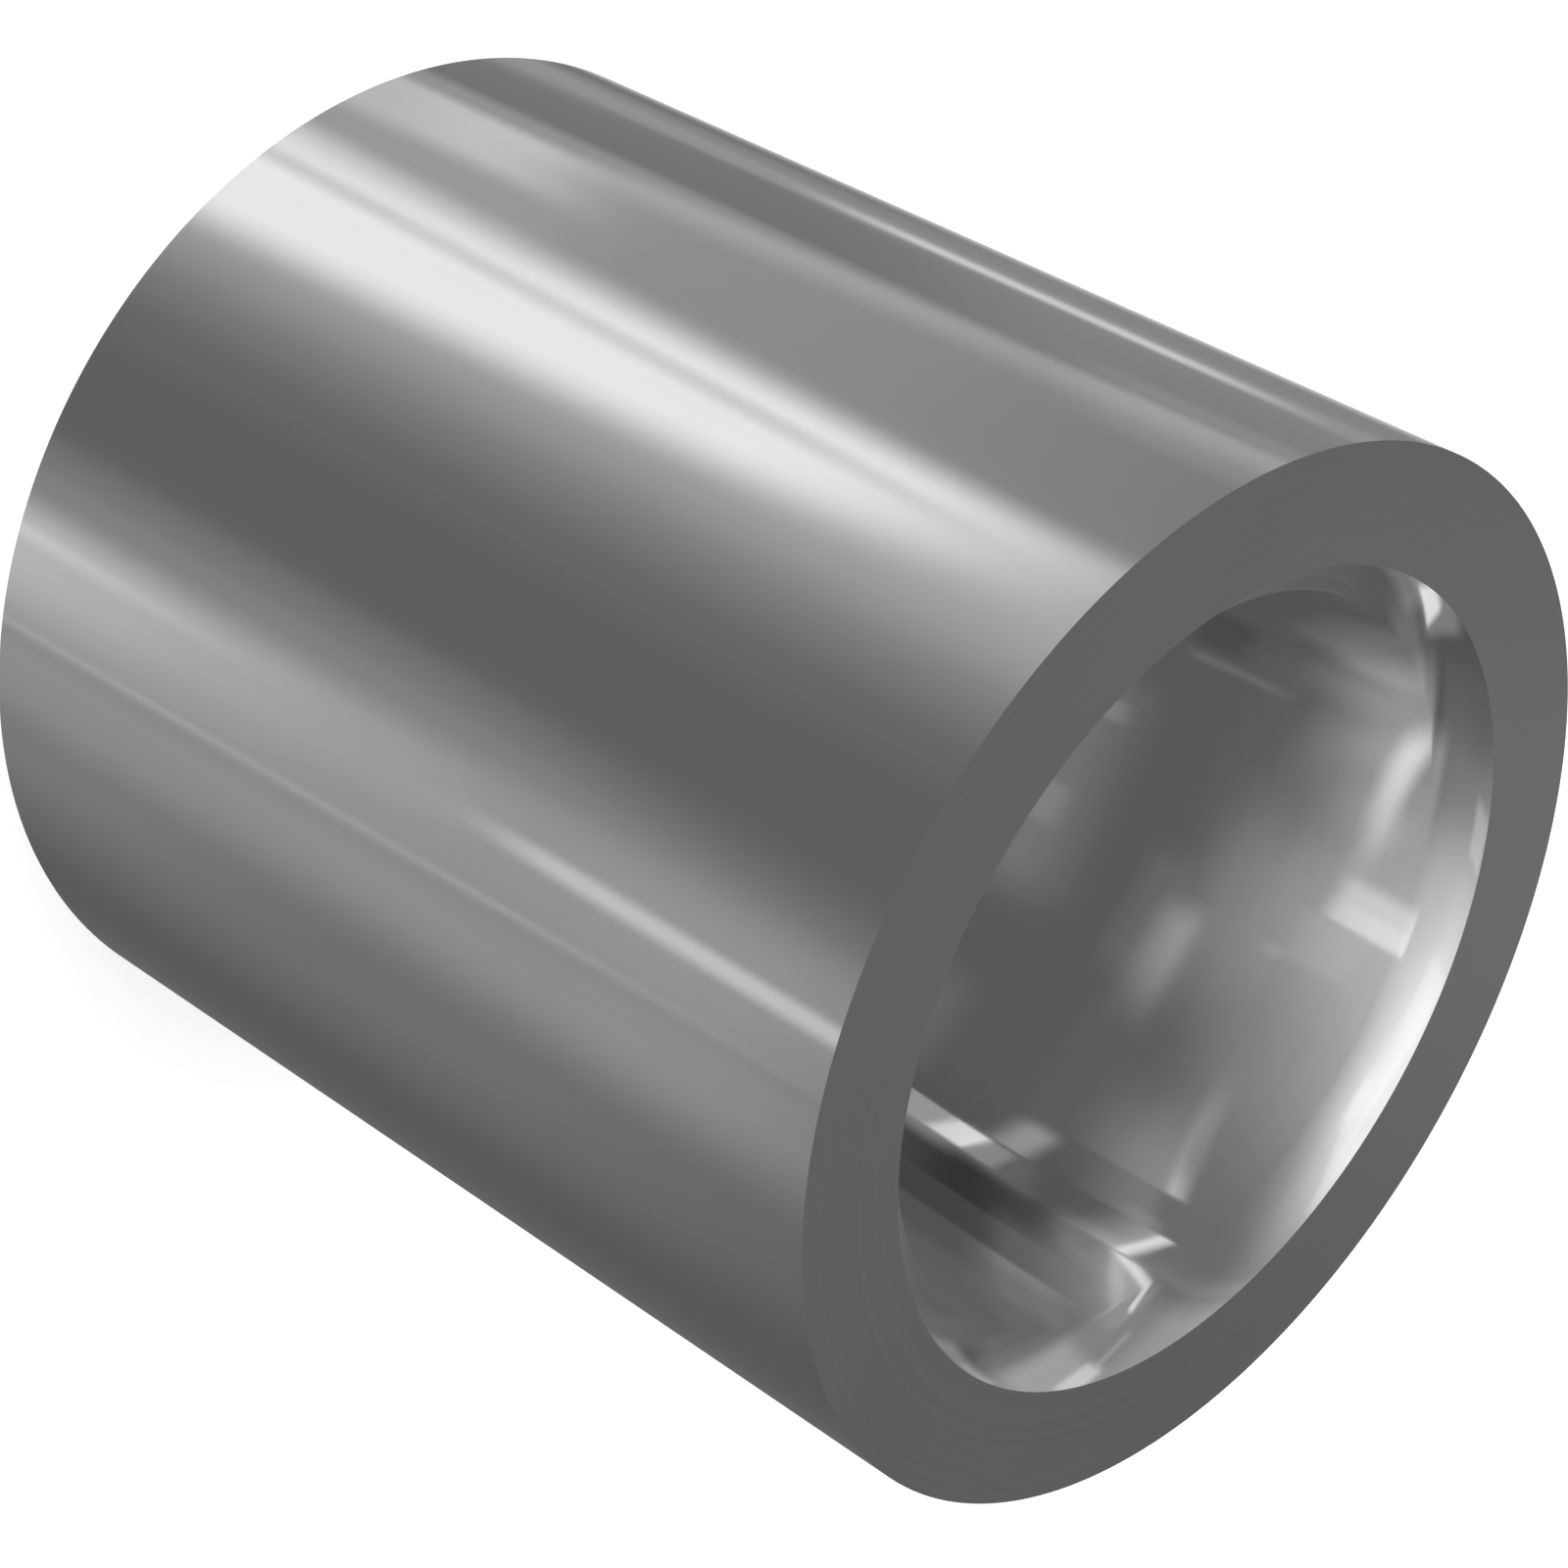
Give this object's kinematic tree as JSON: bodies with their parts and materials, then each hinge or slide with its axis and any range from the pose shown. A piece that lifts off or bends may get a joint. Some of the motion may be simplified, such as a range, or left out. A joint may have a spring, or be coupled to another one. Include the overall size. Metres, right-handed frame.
{
  "type": "mounting tube",
  "caption": "Short round steel tube, cut square at both ends, with a plain through bore and a conical lead-in at each mouth of the bore.",
  "frame": {"origin": "centre of the lower end face, on the axis of the bore, at the level of what the tube stands on", "axes": "+Z along the axis of the bore, up towards the other end face; the tube is round, so X and Y are free"},
  "size_m": [0.02, 0.02, 0.021],
  "materials": {
    "steel": "ground and polished"
  },
  "bodies": {
    "root": {"tube": "steel"}
  },
  "joints": []
}
